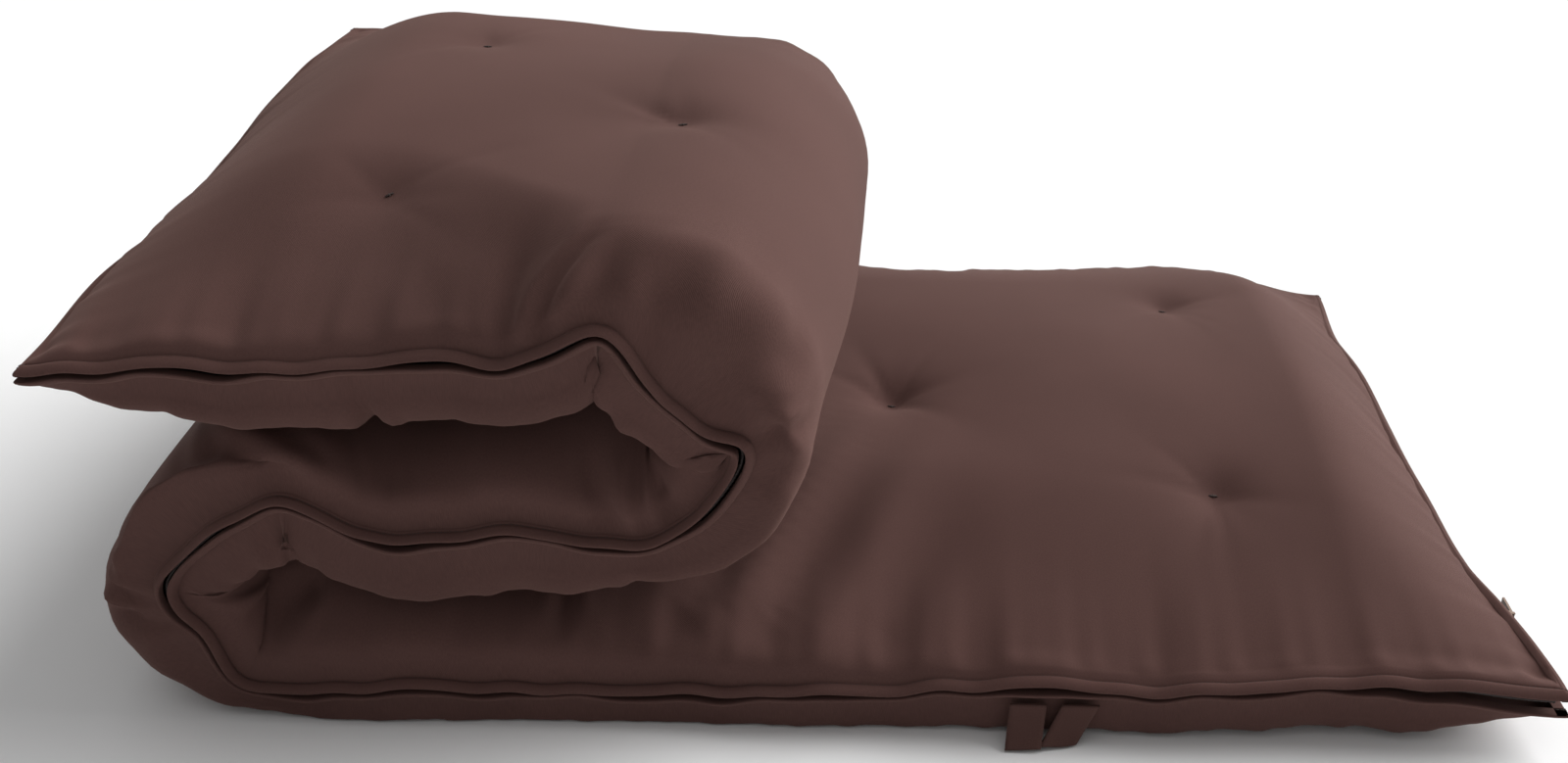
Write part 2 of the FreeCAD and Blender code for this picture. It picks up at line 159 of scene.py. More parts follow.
def spine(run):
    """The middle of the layer in XZ, and the direction its face side looks, when folded."""
    points = np.stack([FREE_END - LIP - run, np.full_like(run, HALF_LOFT)], -1)
    facing = np.stack([np.zeros_like(run), np.ones_like(run)], -1)
    shares = bend_shares(run)
    for index in (3, 2, 1, 0):
        centre = np.array([FREE_END - LIP - hinge_run[index], HALF_LOFT])
        angle = shares[index] * hinge_turn[index]
        points = centre + turned(points - centre, angle)
        facing = turned(facing, angle)
    return points, facing


# ---------------------------------------------------------------- the seam's own path

# The seam cuts the corners of the folds. Each corner of its line is the distance along the
# run from the fold's middle in pitches, then how far it is out of the fold's inner crease and
# above it, both in half lofts.
LEFT_SEAM = [(-1.6, -1.2, -1.5), (-1.15, -0.3, -1.65), (-0.7, 0.55, -1.5), (-0.35, 0.8, -0.9),
             (0.0, 1.1, -0.35), (0.45, 0.65, 0.3), (1.1, -0.5, 0.8), (1.6, -1.2, 0.45)]
RIGHT_SEAM = [(-1.35, -0.7, -1.45), (-0.9, 0.1, -1.6), (-0.6, 0.65, -1.45), (0.05, 1.25, -0.35),
              (0.25, 0.9, -0.2), (0.65, 0.4, 0.3), (1.0, 0.0, 0.8), (1.3, -0.6, 0.55),
              (2.0, -2.0, 0.5)]


# heights of the bottom panel's seam, as (distance from the free end, height), and the height
# at the top's free end, in mm
BOTTOM_SEAM = [(0, 40), (100, 47), (300, 42), (500, 33), (660, 26)]
TOP_SEAM_END = 287 * MM


def seam_path(run):
    """Where the seam lies in XZ along the whole run."""
    knots, places = [], []
    for middle, crease, outward, corners in ((LEFT_MIDDLE, LEFT_CREASE, -1, LEFT_SEAM),
                                             (RIGHT_MIDDLE, RIGHT_CREASE, 1, RIGHT_SEAM)):
        for offset, out, up in corners:
            knots.append(middle + offset * PITCH)
            places.append((crease[0] + outward * out * HALF_LOFT, crease[1] + up * HALF_LOFT))
    for run_at, height in BOTTOM_SEAM:
        knots.append(run_at * MM)
        places.append((FREE_END - LIP - run_at * MM, height * MM))
    knots.append(RUN)
    places.append((TOP_END + LIP, TOP_SEAM_END))
    order = np.argsort(knots)
    path = through(np.array(knots)[order], np.array(places)[order], run)
    # past both free ends the path goes straight on, for the lips
    path[..., 0] -= np.minimum(run, 0) + np.maximum(run - RUN, 0)
    return path


# ---------------------------------------------------------------- the pillow's fullness

# share of the fullness that rises steeply at the edge, along the run, for the face and back
# sides: the sides that hang, lie or are squeezed are full to the edge, and the ones that
# look up are crowned
STEEP_RUNS = [0.20, 0.42, 0.58, LEFT_MIDDLE, (hinge_run[1] + hinge_run[2]) / 2, RIGHT_MIDDLE,
              hinge_run[3] + 0.06, (hinge_run[3] + RUN) / 2, RUN]
STEEP = {"face": (0.12, 0.25, 0.75, 0.85, 0.95, 0.90, 0.60, 0.32, 0.30),
         "back": (0.90, 0.90, 0.90, 0.92, 0.88, 0.75, 0.88, 0.90, 0.90)}
STEEP_WIDTH = 52 * MM
BULGE = 12 * MM                                  # how far a full side swells over the seam
# how far the edges that hang over the layer below sag onto it, in mm
SAG = {"face": (0, 0, 0, 3, 9, 3, 0, 0, 0), "back": (0, 0, 0, 0, 0, 3, 4, 3, 2)}


def steepness(side, run, across):
    """The share of a side's fullness that rises at once from the seam."""
    share = through(STEEP_RUNS, STEEP[side], run)
    if side == "face":                           # the far half of the top slopes away
        far_top = smooth(across, -0.05, 0.20) * smooth(run, hinge_run[2], RUN - 0.3)
        share = share * (1 - 0.9 * far_top)
    return share


def fullness(side, run, across):
    """The pillow's thickness on one side of the seam, 0 to 1."""
    share = steepness(side, run, across)
    depth = HALF_WIDTH - LIP - np.abs(across)
    broad = 1 - (1 - np.clip(depth / (HALF_WIDTH - LIP), 0, 1)) ** 2
    sideways = share * steep_rise(across) + (1 - share) * broad
    from_end = np.minimum(run, RUN - run)
    end_width = np.where(run < RUN / 2, 0.125, 0.17)
    lengthways = (1 - (1 - np.clip(from_end / end_width, 0, 1)) ** 2) ** 0.75
    return sideways * lengthways


def swelling(side, run, across):
    """How far a side's edge swells outwards, past where the lips start."""
    depth = np.maximum(HALF_WIDTH - LIP - np.abs(across), 0) / (11 * MM)
    by_end = smooth(np.minimum(run, RUN - run), 0.0, 0.08)
    return (BULGE * steepness(side, run, across) * depth * np.exp(1 - depth) * by_end
            * np.sign(across))


# ---------------------------------------------------------------- the folds' outer rounding

# distance of the fold's outside from its inner crease, by the angle up from straight out
LEFT_ROUND = [(-90, 130), (-60, 150), (-30, 160), (10, 112), (40, 96), (90, 115)]
RIGHT_ROUND = [(-90, 130), (-45, 150), (0, 156), (45, 143), (90, 124)]


def outer_radii(middle, crease, outward):
    """The unrounded fold's outside, as (angle, distance from the crease) curves."""
    run = np.linspace(middle - 2 * REACH, middle + 2 * REACH, 200)
    points, facing = spine(run)
    side = 1 if outward > 0 else -1
    ring = points + facing * HALF_LOFT * side - crease
    angle = np.arctan2(ring[:, 1], ring[:, 0] * outward)
    radius = np.hypot(ring[:, 0], ring[:, 1])
    order = np.argsort(angle)
    return angle[order], radius[order]


def round_fold(points, loose, swell, middle, crease, outward, rounding):
    """Scales points about the crease so that the fold's outside takes its rounding."""
    offset = points - crease
    out = offset[..., 0] * outward
    angle = np.arctan2(offset[..., 1], np.maximum(out, 1e-6))
    base_angle, base_radius = outer_radii(middle, crease, outward)
    base = np.interp(angle, base_angle, base_radius)
    targets = np.array(rounding, float)
    target = through(np.radians(targets[:, 0]), targets[:, 1] * MM, angle)
    target = 0.134 + (target - 0.134) * swell
    scale = 1 + (target / base - 1) * loose
    rounded = crease + offset * scale[..., None]
    # beside the crease, in the panels, only the height is scaled, and that fades out
    top = through(np.radians(targets[:, 0]), targets[:, 1] * MM, np.sign(angle) * math.pi / 2)
    top = 0.134 + (top - 0.134) * swell
    fade = 1 - smooth(-out, 0, 0.17)
    beside = points.copy()
    level = 1 + (top / (2 * HALF_LOFT) - 1) * fade * loose
    beside[..., 1] = crease[1] + offset[..., 1] * level
    return np.where((out > 0)[..., None], rounded, beside)


# ---------------------------------------------------------------- tufts and wrinkles

# (x, y) of each tuft, from the folded place of its knot
BOTTOM_TUFTS = [(0.305, 0.120), (0.300, -0.182), (0.055, -0.059), (-0.190, 0.112),
                (-0.190, -0.193)]
MIDDLE_TUFTS = [(-0.200, 0.110), (-0.200, -0.190), (-0.320, -0.045)]
TOP_TUFTS = [(-0.283, 0.070), (-0.290, -0.215), (-0.103, -0.103)]
# how tightly each is pulled, bottom, middle, then top
TUFT_PULL = [0.9, 1.0, 1.45, 1.0, 1.0, 1.0, 1.0, 1.0, 0.6, 0.55, 0.85]


def tuft_runs():
    """(run, across) of each tuft."""
    rows = [(FREE_END - LIP - x, y) for x, y in BOTTOM_TUFTS]
    rows += [(hinge_run[1] + x - hinge_place[1][0], y) for x, y in MIDDLE_TUFTS]
    rows += [(hinge_run[3] + hinge_place[3][0] - x, y) for x, y in TOP_TUFTS]
    return rows


def tuft_dimples(run, across):
    """How deep the tufts pull the surface in, with a few uneven creases round each."""
    depth = np.zeros_like(run)
    for index, (tuft_run, tuft_across) in enumerate(tuft_runs()):
        du, dv = run - tuft_run, across - tuft_across
        distance = np.hypot(du, dv)
        angle = np.arctan2(dv, du)
        rng = np.random.default_rng(70 + index)
        pulled = TUFT_PULL[index]
        broad = np.exp(-(distance / 0.085) ** 2) * 7 * MM * pulled
        near = np.exp(-(distance / 0.022) ** 1.5) * 11 * MM * pulled
        creases = np.zeros_like(run)
        for _ in range(5):
            heading = rng.uniform(-math.pi, math.pi)
            width = rng.uniform(0.10, 0.22)
            reach = rng.uniform(0.03, 0.06)
            off = np.angle(np.exp(1j * (angle - heading)))
            creases += (np.exp(-(off / width) ** 2) * np.exp(-distance / reach)
                        * (1 - np.exp(-distance / 0.012)) * 2.4 * MM)
        depth += broad + near + creases * pulled
    return depth


# Wrinkles, each an arc: the side and fold it is by, its depth and width, where it starts
# along the run from the fold's middle and in from the front lips, its length, all in mm, then
# its heading and how far that turns, in degrees from straight in towards the top panel's end.
# A negative depth is a ridge.
WRINKLES = [
    # gathers that fan out from the seam's turn above the right fold
    ("face", "right", 6, 7, 160, 0, 60, -40, 0),
    ("face", "right", -4, 8, 150, 0, 45, -45, 0),
    ("face", "right", 5, 7, 140, 0, 50, -50, 0),
    ("face", "right", 4, 7, 105, 0, 55, -50, 0),
    ("face", "right", 3.5, 8, 50, 0, 55, -40, 0),
    ("face", "right", 3, 10, 185, 0, 80, 5, 0),
    ("face", "right", 2.5, 11, 235, 0, 60, 10, 0),
    # the hooked folds beside the tight turn
    ("face", "right", 8, 5, 0, 0, 30, -60, 40),
    ("face", "right", 8, 5, -5, 0, 50, -90, 70),
    ("face", "right", -3, 6, -10, 5, 25, -60, 0),
    # the layers' creases inside the right fold
    ("back", "right", 7, 6, -80, 0, 35, 60, 0),
    ("back", "right", 5, 9, -130, 0, 40, -45, 0),
    ("back", "right", -4, 9, -110, 5, 30, -40, 0),
    # the left fold's pinch, with its short wrinkles outside
    ("back", "left", 9, 5, -5, 0, 20, -35, 0),
    ("back", "left", 9, 5, -15, 0, 35, -60, 0),
    ("back", "left", -3.5, 6, -15, 5, 15, -50, 0),
    ("back", "left", 5.5, 7, 150, 0, 70, -65, 0),
    ("back", "left", -3.5, 8, 150, 10, 60, -65, 0),
    # long creases that run in from the pinch between the layers
    ("face", "left", 4.5, 8, 110, 0, 130, 75, 30),
    ("face", "left", 6, 9, -150, 35, 60, 120, 0),
    ("face", "left", 3, 9, -40, 0, 40, -50, 0),
    # pleats on the top's underside and the bottom's slope
    ("back", "right", 6, 7, 290, 0, 60, 0, 0),
    ("face", "left", 4, 8, -335, 40, 35, 180, 0),
    ("face", "left", 3.6, 18, -420, 25, 340, -35, 25),
    ("face", "left", -3.6, 17, -440, 30, 320, -35, 25),
    ("face", "left", 3.2, 19, -480, 25, 290, -30, 25),
    ("face", "left", -2.8, 19, -520, 25, 175, -25, 10),
    ("face", "left", 2.6, 19, -565, 30, 145, -30, 0),
]


def wrinkle_arc(start, inward, length, heading, turn, steps=24):
    """Points along a wrinkle, as (distance from the fold's middle, distance in)."""
    angles = np.radians(heading + turn * np.linspace(0, 1, steps))
    ahead = np.stack([np.sin(angles), np.cos(angles)], -1) * length * MM / (steps - 1)
    return np.array([start, inward]) * MM + np.cumsum(ahead, axis=0) - ahead[0]


def wrinkles(run, across, side):
    """How deep the drawn wrinkles press the surface in, with soft shoulders beside them."""
    depth_in = HALF_WIDTH - LIP + across
    total = np.zeros_like(run)
    for at, fold, depth, width, *arc in WRINKLES:
        if at != side:
            continue
        middle = LEFT_MIDDLE if fold == "left" else RIGHT_MIDDLE
        steps = wrinkle_arc(*arc)
        nearest = np.full(run.shape, 9.0)
        place = np.zeros_like(run)
        for index, (offset, inward) in enumerate(steps):
            distance = np.hypot(run - middle - offset, depth_in - inward)
            closer = distance < nearest
            nearest = np.where(closer, distance, nearest)
            place = np.where(closer, index / (len(steps) - 1), place)
        taper = smooth(place, 1.0, 0.35)
        width = width * MM * (0.8 + 0.5 * place)
        dent = (np.exp(-(nearest / width) ** 2)
                - 0.35 * np.exp(-((nearest - 2.1 * width) / (0.9 * width)) ** 2))
        total += depth * MM * taper * dent
    return total


def seam_puckers(run, across, side):
    """Short ripples that run in from the lips, where the zip gathers the cloth."""
    depth = HALF_WIDTH - LIP - np.abs(across)
    ends = np.minimum(run, RUN - run)
    seed = 11 if side == "face" else 12
    waves = ripple(run, seed, (0.019, 0.031, 0.047, 0.083), (0.5, 0.7, 0.8, 1.0))
    gathers = ripple(run, seed + 2, (0.026, 0.037, 0.058), (1.2, 1.1, 1.0))
    by_fold = smooth(np.minimum(np.abs(run - LEFT_MIDDLE), np.abs(run - RIGHT_MIDDLE)),
                     0.17, 0.06)
    along_end = ripple(across, seed + 5, (0.023, 0.037, 0.071), (0.5, 0.7, 0.9))
    front = np.exp(-np.clip(depth, 0, 1) / 0.030) * waves
    front += by_fold * gathers * np.exp(-np.clip(depth, 0, 1) / 0.045)
    end = np.exp(-np.clip(ends, 0, 1) / 0.028) * along_end
    return (front + end) * 0.9 * MM * smooth(depth, -0.001, 0.012)


def broad_waves(run, across, seed):
    """The filling's own unevenness: lumps of several sizes, none of them regular."""
    rng = np.random.default_rng(seed)
    total = np.zeros_like(run)
    for length, amount in ((0.34, 2.2), (0.19, 1.5), (0.11, 1.0), (0.065, 0.55)):
        cells = rng.normal(size=(int(RUN / length) + 4, int(2 * HALF_WIDTH / length) + 4))
        u = (run + 0.05) / length
        v = (across + HALF_WIDTH + 0.02) / length
        i, j = np.floor(u).astype(int), np.floor(v).astype(int)
        a, b = smooth(u - i, 0, 1), smooth(v - j, 0, 1)
        total += amount * ((cells[i, j] * (1 - a) + cells[i + 1, j] * a) * (1 - b)
                           + (cells[i, j + 1] * (1 - a) + cells[i + 1, j + 1] * a) * b)
    return total * 0.55 * MM


# ---------------------------------------------------------------- the grid

def spaced(length, step, fine_step, fine_reach):
    """Positions from 0 to length, closer together near both ends."""
    fine = np.arange(0, fine_reach, fine_step)
    count = max(2, int(round((length - 2 * fine_reach) / step)))
    middle = np.linspace(fine_reach, length - fine_reach, count + 1)
    return np.concatenate([fine, middle, (length - fine)[::-1]])


class Grid:
    """Columns along the run and rows across, with the lips' rows beyond all four edges."""

    def __init__(self, side):
        lip = FACE_LIP if side == "face" else BACK_LIP
        outward = np.array([row[0] for row in lip]) * MM
        runs = spaced(RUN, 4.2 * MM, 3 * MM, 30 * MM)
        across = spaced(2 * (HALF_WIDTH - LIP), 5.5 * MM, 2.6 * MM, 40 * MM)
        across = across - (HALF_WIDTH - LIP)
        self.run = np.concatenate([-outward[::-1], runs, RUN + outward])
        self.across = np.concatenate([across[0] - outward[::-1], across,
                                      across[-1] + outward])
        rows = np.arange(1, LIP_ROWS + 1)
        self.run_row = np.concatenate([rows[::-1], np.zeros(len(runs), int), rows])
        self.across_row = np.concatenate([rows[::-1], np.zeros(len(across), int), rows])
        self.lip_height = np.array([row[1] for row in lip]) * MM


def slit_gap(run, across):
    """Half the slit's height along the seam: it opens and closes unevenly, wide at the
    corners of the free end, where the zip's slider is parked."""
    along = 1.4 + ripple(run, 21, (0.23, 0.13, 0.075), (0.7, 0.6, 0.4))
    along = np.clip(along, 0.3, 4) * MM
    end = 1.7 + ripple(across, 22, (0.19, 0.11), (0.9, 0.5))
    end = np.clip(end, 0.5, 4) * MM
    by_end = smooth(np.minimum(run, RUN - run), 0.03, 0.0)
    gap = along * (1 - by_end) + end * by_end
    garage = smooth(run, 0.16, 0.02) * smooth(across, -0.19, -0.235)
    gap = gap + (5.6 * MM - gap) * garage
    plain_back = smooth(across, 0.25, HALF_WIDTH - LIP)
    return gap * (1 - plain_back) + 0.2 * MM * plain_back


def steep_rise(across):
    """0 at the lips to 1 at the width that a full side needs to swell out, as a quarter turn."""
    depth = HALF_WIDTH - LIP - np.abs(across)
    return np.sqrt(1 - (1 - np.clip(depth / STEEP_WIDTH, 0, 1)) ** 2)


def seam_shift(run, across, side=None):
    """How far the layer's middle moves, in XZ, from its even spine towards the seam.

    The cloth round a fold's outside leaves the seam at once, and elsewhere slowly.
    """
    depth = np.maximum(HALF_WIDTH - LIP - np.abs(across), 0)
    points, _ = spine(run)
    nearness = np.minimum(np.abs(run - LEFT_MIDDLE), np.abs(run - RIGHT_MIDDLE))
    width = 0.07 + 0.11 * smooth(nearness, 0.10, 0.32)
    pull = 1 - smooth(depth, 0.0, width)
    if side is not None:
        middle = RIGHT_MIDDLE if side == "face" else LEFT_MIDDLE
        quick = smooth(np.abs(run - middle), 0.19, 0.10)
        pull = quick * (1 - steep_rise(across)) + (1 - quick) * pull
    shift = (seam_path(run) - points) * pull[..., None]
    # the free ends drop to their own seam
    for end, level in ((smooth(run, 0.12, 0.0), 0.040), (smooth(RUN - run, 0.16, 0.0), 0.292)):
        shift[..., 1] += end * (level - points[..., 1]) * (1 - pull)
    # across the far half the top lifts at its free end and sinks over the right fold
    lift = through([RIGHT_MIDDLE - 0.1, RIGHT_MIDDLE, hinge_run[3], hinge_run[3] + 0.10,
                    hinge_run[3] + 0.20, RUN], [0, -18, -34, -20, 0, 30], run) * MM
    shift[..., 1] += lift * smooth(across, -0.10, 0.32)
    # the far corner of the bottom panel lies down on the floor
    shift[..., 1] -= 24 * MM * smooth(run, 0.16, 0.0) * smooth(across, 0.12, HALF_WIDTH)
    # the lips wander up and down
    wander = ripple(run, 31, (0.27, 0.16, 0.09, 0.061, 0.043), (1.9, 1.3, 0.9, 0.9, 0.5)) * MM
    shift[..., 1] += wander * pull ** 3 * np.where(across < 0, 1, 0.5) * smooth(run, 0.0, 0.10)
    return shift


def outline_pull(run, across):
    """The sides pull in between the corners, and the corners stand out as small ears."""
    end_share = smooth(np.minimum(run, RUN - run), 0.16, 0.0)
    side_share = smooth(np.abs(across), HALF_WIDTH - 0.16, HALF_WIDTH)
    inward = np.where(run < RUN / 2, -16.0, 7.0) * MM
    pull_x = inward * end_share * (1 - side_share) + 3 * MM * end_share * side_share
    pull_x += ripple(across, 41, (0.33, 0.17), (1.6, 0.9)) * MM * end_share
    pull_y = ripple(run, 42, (0.55, 0.29, 0.15), (1.8, 1.2, 0.6)) * MM * side_share
    pull_y += -4 * MM * side_share * (1 - end_share)
    toward_free = np.where(run < RUN / 2, 1.0, -1.0)
    return pull_x * toward_free, pull_y * np.sign(across)


def cover(side):
    """One sheet of the casing, folded: its points and its grid."""
    grid = Grid(side)
    run, across = np.meshgrid(grid.run, grid.across, indexing="ij")
    run_row, across_row = np.meshgrid(grid.run_row, grid.across_row, indexing="ij")
    row = np.maximum(run_row, across_row)
    inside = row == 0

    points, facing = spine(run)
    middle = points + seam_shift(run, across, side)
    # near the edge the sheets open square to the seam's own path
    along = np.gradient(middle, axis=0) / np.gradient(run, axis=0)[..., None]
    along[:LIP_ROWS + 1] = along[LIP_ROWS + 1]
    along[-LIP_ROWS - 1:] = along[-LIP_ROWS - 2]
    square = np.stack([along[..., 1], -along[..., 0]], -1)
    square /= np.maximum(np.linalg.norm(square, axis=-1, keepdims=True), 1e-9)
    # the swelling cloth beside the lips rounds off the seam's sharp turns
    rounded = evened(square, grid.run, 21 * MM)
    rounded /= np.linalg.norm(rounded, axis=-1, keepdims=True)
    depth = HALF_WIDTH - LIP - np.abs(across)
    lips = (1 - smooth(depth, 0.0, 0.008))[..., None]
    own = (1 - smooth(depth, 0.004, 0.045))[..., None]
    normal = facing * (1 - own) + (rounded * (1 - lips) + square * lips) * own
    normal /= np.linalg.norm(normal, axis=-1, keepdims=True)

    height = LIP_ROOT + (HALF_LOFT - LIP_ROOT) * fullness(side, run, across)
    sunk = np.maximum(depth, 0) / 0.018
    height += through(STEEP_RUNS, SAG[side], run) * MM * sunk * np.exp(1 - sunk)
    gap = slit_gap(run, across)
    height += gap * (1 - smooth(HALF_WIDTH - LIP - np.abs(across), 0.0, 0.02))
    lip_height = gap + grid.lip_height[np.maximum(row, 1) - 1]
    height = np.where(inside, height, lip_height)
    if side == "back":
        height = -height
    folded = middle + normal * height[..., None]

    loose = smooth(depth, 0.0, 0.05)
    near_left = np.abs(run - LEFT_MIDDLE) < 0.30
    near_right = np.abs(run - RIGHT_MIDDLE) < 0.30
    left = round_fold(folded, smooth(depth, 0.0, 0.02), 1.0, LEFT_MIDDLE, LEFT_CREASE, -1,
                      LEFT_ROUND)
    right = round_fold(folded, loose, smooth(depth, -0.03, 0.26), RIGHT_MIDDLE, RIGHT_CREASE,
                       1, RIGHT_ROUND)
    folded = np.where(near_left[..., None], left, np.where(near_right[..., None], right, folded))

    pull_x, pull_y = outline_pull(run, across)
    x = folded[..., 0] + pull_x
    y = across + pull_y + np.where(inside, swelling(side, run, across), 0)
    z = folded[..., 1]
    points = np.stack([x, y, z], -1)

    # tufts, wrinkles and puckers press along the surface's own normal
    outward = grid_normals(points, side == "face")
    relief = seam_puckers(run, across, side) + broad_waves(run, across, 51)
    relief -= tuft_dimples(run, across) * (1.0 if side == "face" else 0.6)
    relief -= wrinkles(run, across, side)
    edge = np.minimum(depth, np.minimum(run, RUN - run))
    relief = np.where(inside, relief * smooth(edge, -0.001, 0.006), 0)
    points += outward * relief[..., None]

    floor, soft = 1.0 * MM, 6 * MM
    low = points[..., 2]
    points[..., 2] = np.where(low < floor + soft,
                              floor + soft * np.exp((low - floor - soft) / soft), low)
    return points, grid


# ---------------------------------------------------------------- meshes

SPLITS = [0.0, LEFT_MIDDLE, (hinge_run[1] + hinge_run[2]) / 2, RIGHT_MIDDLE, RUN]


def column_ranges(grid):
    """Column index ranges of the four casing lengths, each crossing one hinge."""
    marks = [0]
    for run in SPLITS[1:-1]:
        marks.append(int(np.argmin(np.abs(grid.run - run))))
    marks.append(len(grid.run) - 1)
    return list(zip(marks[:-1], marks[1:]))


def grid_faces(rows, columns, flip):
    index = np.arange(rows * columns).reshape(rows, columns)
    corners = [index[:-1, :-1], index[1:, :-1], index[1:, 1:], index[:-1, 1:]]
    if flip:
        corners = corners[::-1]
    return np.stack([c.ravel() for c in corners], -1)


def new_mesh(name, vertices, faces, uvs=None, material=None):
    mesh = bpy.data.meshes.new(name)
    mesh.from_pydata(np.asarray(vertices).tolist(), [], np.asarray(faces).tolist())
    if uvs is not None:
        layer = mesh.uv_layers.new(name="cloth")
        loops = np.zeros(len(mesh.loops), np.int32)
        mesh.loops.foreach_get("vertex_index", loops)
        layer.data.foreach_set("uv", np.asarray(uvs, np.float32)[loops].ravel())
    mesh.polygons.foreach_set("use_smooth", np.ones(len(mesh.polygons), bool))
    if material is not None:
        mesh.materials.append(material)
    mesh.update()
    thing = bpy.data.objects.new(name, mesh)
    bpy.context.scene.collection.objects.link(thing)
    return thing


def grid_normals(points, flip):
    du = np.gradient(points, axis=0)
    dv = np.gradient(points, axis=1)
    normal = np.cross(du, dv)
    normal /= np.maximum(np.linalg.norm(normal, axis=-1, keepdims=True), 1e-12)
    return -normal if flip else normal


def carry(piece):
    """Bakes a piece's placement into its mesh.
    """
    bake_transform(piece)


def build_casing(sheets, material):
    pieces = []
    for part in range(4):
        vertices, faces, uvs, shares = [], [], [], []
        base = 0
        for side, (points, grid) in sheets.items():
            first, last = column_ranges(grid)[part]
            block = points[first:last + 1]
            rows, columns = block.shape[:2]
            run, across = np.meshgrid(grid.run[first:last + 1], grid.across, indexing="ij")
            vertices.append(block.reshape(-1, 3))
            faces.append(grid_faces(rows, columns, side == "face") + base)
            uvs.append(np.stack([run, across], -1).reshape(-1, 2))
            shares.append(bend_shares(run)[part].ravel())
            base += rows * columns
        piece = new_mesh(f"casing_{CHAIN[part]}_to_{CHAIN[part + 1]}", np.concatenate(vertices),
                         np.concatenate(faces), np.concatenate(uvs), material)
        carry(piece)
        pieces.append(piece)
    inner = ("casing_face", "casing_back", "batting_face", "batting_back", "foam_core")
    for index, length in enumerate(CHAIN):
        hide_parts(*[f"{kind}_{length}" for kind in inner])
    return pieces


# ---------------------------------------------------------------- zip, stitches, knots


def edge_track(runs, outward):
    """The slit's middle, its opening direction and its way along, at the front edge."""
    across = np.full((len(runs), 2), -(HALF_WIDTH - LIP))
    across[:, 1] -= outward
    run = np.repeat(runs[:, None], 2, 1)
    points, _ = spine(run)
    middle = points + seam_shift(run, across)
    pull_x, pull_y = outline_pull(run, across)
    x = middle[..., 0] + pull_x
    y = across + pull_y
    place = np.stack([x, y, middle[..., 1]], -1)[:, 1]
    along = np.gradient(place, axis=0)
    along /= np.linalg.norm(along, axis=-1, keepdims=True)
    square = np.cross(along, [0.0, -1.0, 0.0])
    square /= np.linalg.norm(square, axis=-1, keepdims=True)
    return place, square, along


def tube(path, across_a, across_b, radii, sides=6):
    """A tube round a path, with its own radius at every step."""
    turns = np.arange(sides) * 2 * math.pi / sides
    ring = (across_a[:, None] * np.cos(turns)[None, :, None]
            + across_b[:, None] * np.sin(turns)[None, :, None])
    vertices = path[:, None] + ring * np.asarray(radii)[:, None, None]
    index = np.arange(len(path) * sides).reshape(len(path), sides)
    ahead = np.roll(index, -1, axis=1)
    faces = np.stack([index[:-1].ravel(), ahead[:-1].ravel(), ahead[1:].ravel(),
                      index[1:].ravel()], -1)
    return vertices.reshape(-1, 3), faces


def part_runs(part, step):
    start, end = SPLITS[part], SPLITS[part + 1]
    return np.linspace(start, end, int(round((end - start) / step)) + 1)


def build_zip(tape_material, coil_material):
    """Tape and coil in the slit of the front seam, in four lengths like the casing."""
    for part in range(4):
        runs = part_runs(part, 6 * MM)
        strips = []
        for lift in (0.5, -0.5):
            rows = []
            for outward in (-14 * MM, -6 * MM, -1.2 * MM):
                place, square, _ = edge_track(runs, outward)
                rows.append(place + square * lift * MM)
            strips.append(np.stack(rows, 1))
        ring = np.concatenate([strips[0], strips[1][:, ::-1]], 1)
        count = ring.shape[1]
        index = np.arange(len(runs) * count).reshape(len(runs), count)
        ahead = np.roll(index, -1, axis=1)
        faces = np.stack([index[:-1].ravel(), ahead[:-1].ravel(), ahead[1:].ravel(),
                          index[1:].ravel()], -1)
        tape = new_mesh(f"zip_tape_{CHAIN[part]}_on", ring.reshape(-1, 3), faces,
                        material=tape_material)
        carry(tape)

        runs = part_runs(part, 0.9 * MM)
        place, square, along = edge_track(runs, 0.0)
        radii = (1.25 + 0.35 * np.sin(runs / (2.7 * MM) * 2 * math.pi)) * MM
        out = np.cross(square, along)
        vertices, faces = tube(place, square, out, radii)
        coil = new_mesh(f"zip_coil_{CHAIN[part]}_on", vertices, faces, material=coil_material)
        carry(coil)
        stood_for = [part] if part < 3 else [3, 4]
        for index in stood_for:
            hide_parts(f"zip_tape_face_{CHAIN[index]}", f"zip_tape_back_{CHAIN[index]}")
            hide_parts(f"zip_coil_{CHAIN[index]}")


def stitch_meshes(points, along, up, length, radius):
    """One small capsule per stitch."""
    steps = np.array([-0.5, -0.32, 0.0, 0.32, 0.5])
    swell = np.array([0.25, 0.85, 1.0, 0.85, 0.25])
    sides = 5
    turns = np.arange(sides) * 2 * math.pi / sides
    sideways = np.cross(along, up)
    centre = points[:, None] + along[:, None] * (steps * length)[None, :, None]
    ring = (up[:, None] * np.cos(turns)[None, :, None]
            + sideways[:, None] * np.sin(turns)[None, :, None])
    vertices = (centre[:, :, None] + ring[:, None] * (swell * radius)[None, :, None, None])
    count = len(steps) * sides
    index = np.arange(count).reshape(len(steps), sides)
    ahead = np.roll(index, -1, axis=1)
    one = np.stack([index[:-1].ravel(), ahead[:-1].ravel(), ahead[1:].ravel(),
                    index[1:].ravel()], -1)
    faces = (one[None] + (np.arange(len(points)) * count)[:, None, None]).reshape(-1, 4)
    return vertices.reshape(-1, 3), faces, count


